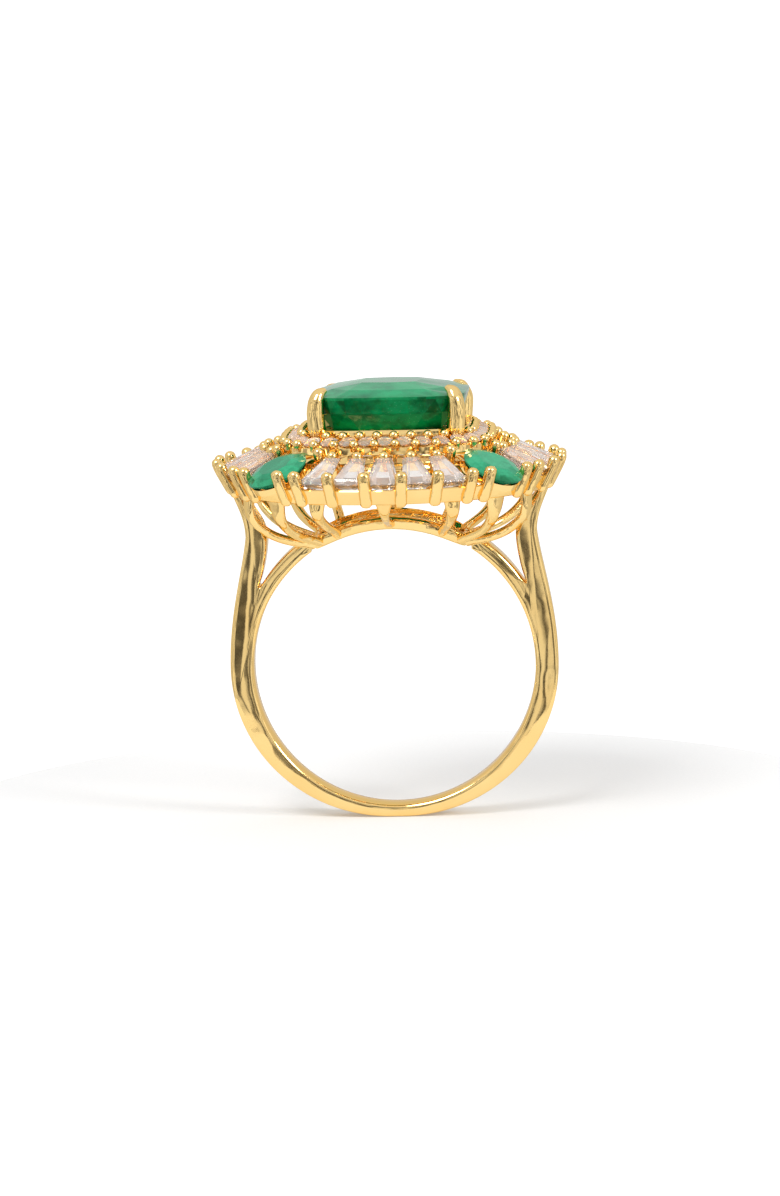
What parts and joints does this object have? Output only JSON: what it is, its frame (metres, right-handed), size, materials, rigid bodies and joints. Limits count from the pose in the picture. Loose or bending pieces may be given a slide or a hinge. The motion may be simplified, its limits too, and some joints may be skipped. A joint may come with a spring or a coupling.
{
  "type": "cocktail ring",
  "caption": "Gold cocktail ring: forked shank, open wire gallery and a ballerina crown of tapered stones and ovals around a claw-set cushion gem with a pave halo.",
  "frame": {"origin": "centre of the finger hole", "axes": "+Z from the finger hole up to the centre stone, +Y along the finger, +X to the wearer's right as the ring is seen from its front at -Y"},
  "size_m": [0.0214, 0.0214, 0.0269],
  "materials": {
    "yellow_gold": "polished",
    "emerald": "faceted, polished, with inclusions",
    "baguette_stone": "step cut, polished",
    "melee_stone": "brilliant cut, polished"
  },
  "bodies": {
    "root": {"shank": "yellow_gold", "base_rail": "yellow_gold", "centre_rib_front": "yellow_gold", "front_rib_front_right": "yellow_gold", "emerald_rib_front_right": "yellow_gold", "side_rib_front_right": "yellow_gold", "front_rib_front_left": "yellow_gold", "emerald_rib_front_left": "yellow_gold", "side_rib_front_left": "yellow_gold", "centre_rib_back": "yellow_gold", "front_rib_back_right": "yellow_gold", "emerald_rib_back_right": "yellow_gold", "side_rib_back_right": "yellow_gold", "front_rib_back_left": "yellow_gold", "emerald_rib_back_left": "yellow_gold", "side_rib_back_left": "yellow_gold", "crown_frame": "yellow_gold", "centre_basket": "yellow_gold", "melee_plate": "yellow_gold", "halo_wall": "yellow_gold", "centre_emerald": "emerald", "oval_seat_front_right": "yellow_gold", "oval_emerald_front_right": "emerald", "oval_seat_back_right": "yellow_gold", "oval_emerald_back_right": "emerald", "oval_seat_back_left": "yellow_gold", "oval_emerald_back_left": "emerald", "oval_seat_front_left": "yellow_gold", "oval_emerald_front_left": "emerald", "baguette_front_1": "baguette_stone", "baguette_front_2": "baguette_stone", "baguette_front_3": "baguette_stone", "baguette_front_4": "baguette_stone", "baguette_front_5": "baguette_stone", "baguette_right_1": "baguette_stone", "baguette_right_2": "baguette_stone", "baguette_right_3": "baguette_stone", "baguette_right_4": "baguette_stone", "baguette_right_5": "baguette_stone", "baguette_back_1": "baguette_stone", "baguette_back_2": "baguette_stone", "baguette_back_3": "baguette_stone", "baguette_back_4": "baguette_stone", "baguette_back_5": "baguette_stone", "baguette_left_1": "baguette_stone", "baguette_left_2": "baguette_stone", "baguette_left_3": "baguette_stone", "baguette_left_4": "baguette_stone", "baguette_left_5": "baguette_stone", "melee_arc_1": "melee_stone", "melee_arc_2": "melee_stone", "melee_arc_3": "melee_stone", "melee_arc_4": "melee_stone"}
  },
  "joints": []
}
